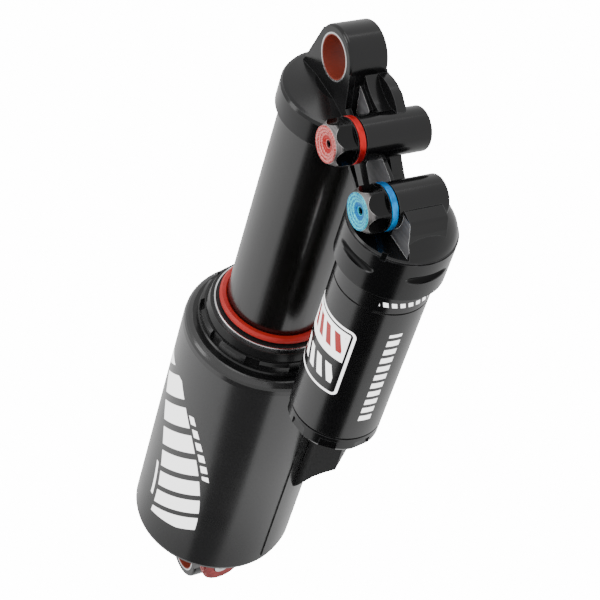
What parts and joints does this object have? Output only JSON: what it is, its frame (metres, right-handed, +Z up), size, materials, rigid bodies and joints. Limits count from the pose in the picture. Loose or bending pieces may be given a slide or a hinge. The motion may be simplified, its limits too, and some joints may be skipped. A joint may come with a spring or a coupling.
{
  "type": "bicycle rear shock absorber",
  "caption": "Piggyback air shock with sliding air can, damper tube, eyelets, side reservoir and coloured adjuster knobs.",
  "frame": {"origin": "centre of the upper (body) eyelet bore", "axes": "+X along the eyelet bores, away from the adjuster knobs; +Z up the damper axis from the shaft eyelet to the body eyelet; the reservoir is on the -Y side"},
  "size_m": [0.0652, 0.0893, 0.2605],
  "materials": {
    "forging_black": "gloss black anodised",
    "can_black": "satin black anodised",
    "tube_hard": "polished dark hard anodised",
    "red_anodised": "satin red anodised",
    "blue_anodised": "satin blue anodised",
    "grip_black": "gloss black",
    "bright_steel": "bright turned",
    "liner": "red brown bearing liner",
    "raw_aluminium": "plain turned",
    "chrome_shaft": "hard chromed",
    "red_rubber": "red rubber",
    "black_rubber": "black rubber",
    "brass": "turned",
    "bearing_white": "bearing plastic",
    "cap_plastic": "moulded black"
  },
  "bodies": {
    "damper_body": {"head_forging": "forging_black", "body_eyelet_bush_shell": "bright_steel", "body_eyelet_bush_liner": "liner", "damper_tube": "tube_hard", "shaft_seal_head": "raw_aluminium", "shaft_seal": "black_rubber", "shaft_guide_bush": "bearing_white", "air_piston": "raw_aluminium", "air_piston_seal": "black_rubber", "air_piston_guide_band": "bearing_white", "reservoir_tube": "can_black", "reservoir_end_cap": "forging_black", "reservoir_end_cap_seal": "black_rubber", "charge_valve_body": "brass", "charge_valve_core": "brass", "rebound_tube_plug": "forging_black", "compression_tube_plug": "forging_black", "rebound_spindle_seal": "black_rubber", "compression_spindle_seal": "black_rubber", "rebound_detent_ball": "bright_steel", "compression_detent_ball": "bright_steel"},
    "rebound_knob": {"rebound_knob_core": "red_anodised", "rebound_knob_grip": "grip_black", "rebound_knob_screw": "bright_steel", "rebound_spindle": "bright_steel"},
    "compression_knob": {"compression_knob_core": "blue_anodised", "compression_knob_grip": "grip_black", "compression_knob_screw": "bright_steel", "compression_spindle": "bright_steel"},
    "floating_piston": {"floating_piston": "raw_aluminium", "floating_piston_seal": "black_rubber"},
    "charge_valve_cap": {"charge_valve_cap": "cap_plastic"},
    "travel_ring": {"travel_ring": "red_rubber"},
    "air_can": {"air_can_sleeve": "can_black", "air_valve_body": "brass", "air_valve_core": "brass", "inner_air_sleeve": "raw_aluminium", "can_seal_head": "can_black", "can_main_seal": "black_rubber", "can_guide_bush": "bearing_white", "can_static_seal": "black_rubber", "can_lock_ring": "can_black", "wiper_case": "bright_steel", "wiper_lip": "black_rubber", "top_out_bumper": "black_rubber", "bottom_out_bumper": "black_rubber", "shaft_eyelet": "forging_black", "shaft_eyelet_bush_shell": "bright_steel", "shaft_eyelet_bush_liner": "liner", "shaft": "chrome_shaft", "main_piston": "raw_aluminium", "main_piston_band": "bearing_white", "rebound_shims": "bright_steel", "compression_shims": "bright_steel", "piston_nut": "bright_steel"},
    "air_valve_cap": {"air_valve_cap": "cap_plastic"},
    "rebound_rod": {"rebound_rod": "raw_aluminium"},
    "shaft_knob": {"shaft_knob": "red_anodised", "shaft_knob_spindle": "bright_steel", "shaft_knob_screw": "bright_steel"}
  },
  "joints": [
    {"name": "shock_stroke", "type": "slide", "parent": "damper_body", "child": "air_can", "axis": [0, 0, 1], "range_m": [0, 0.076], "stiffness_N_per_m": 45000, "springref_m": -0.012},
    {"name": "travel_ring_slide", "type": "slide", "parent": "damper_body", "child": "travel_ring", "axis": [0, 0, 1], "range_m": [0, 0.076]},
    {"name": "floating_piston_slide", "type": "slide", "parent": "damper_body", "child": "floating_piston", "axis": [0, 0, 1], "range_m": [-0.01639, 0]},
    {"name": "rebound_knob_turn", "type": "hinge", "parent": "damper_body", "child": "rebound_knob", "pos_m": [-0.015, -0.024, -0.0096], "axis": [1, 0, 0], "range_deg": [0, 300]},
    {"name": "compression_knob_turn", "type": "hinge", "parent": "damper_body", "child": "compression_knob", "pos_m": [-0.013, -0.0445, -0.01656], "axis": [1, 0, 0], "range_deg": [0, 300]},
    {"name": "charge_valve_cap_slide", "type": "slide", "parent": "damper_body", "child": "charge_valve_cap", "axis": [0, 0, -1], "range_m": [0, 0.012]},
    {"name": "air_valve_cap_slide", "type": "slide", "parent": "air_can", "child": "air_valve_cap", "axis": [0.766, 0.6428, 0], "range_m": [0, 0.012]},
    {"name": "shaft_knob_turn", "type": "hinge", "parent": "air_can", "child": "shaft_knob", "pos_m": [0, -0.014, -0.2315], "axis": [0, -1, 0], "range_deg": [0, 270]},
    {"name": "rebound_rod_slide", "type": "slide", "parent": "air_can", "child": "rebound_rod", "axis": [0, 0, 1], "range_m": [0, 0.00118]}
  ],
  "couplings": [
    {"joint": "travel_ring_slide", "follows": "shock_stroke", "ratio": 1},
    {"joint": "floating_piston_slide", "follows": "shock_stroke", "ratio": -0.213},
    {"joint": "shaft_knob_turn", "follows": "rebound_rod_slide", "rad_per_m": 4000}
  ]
}
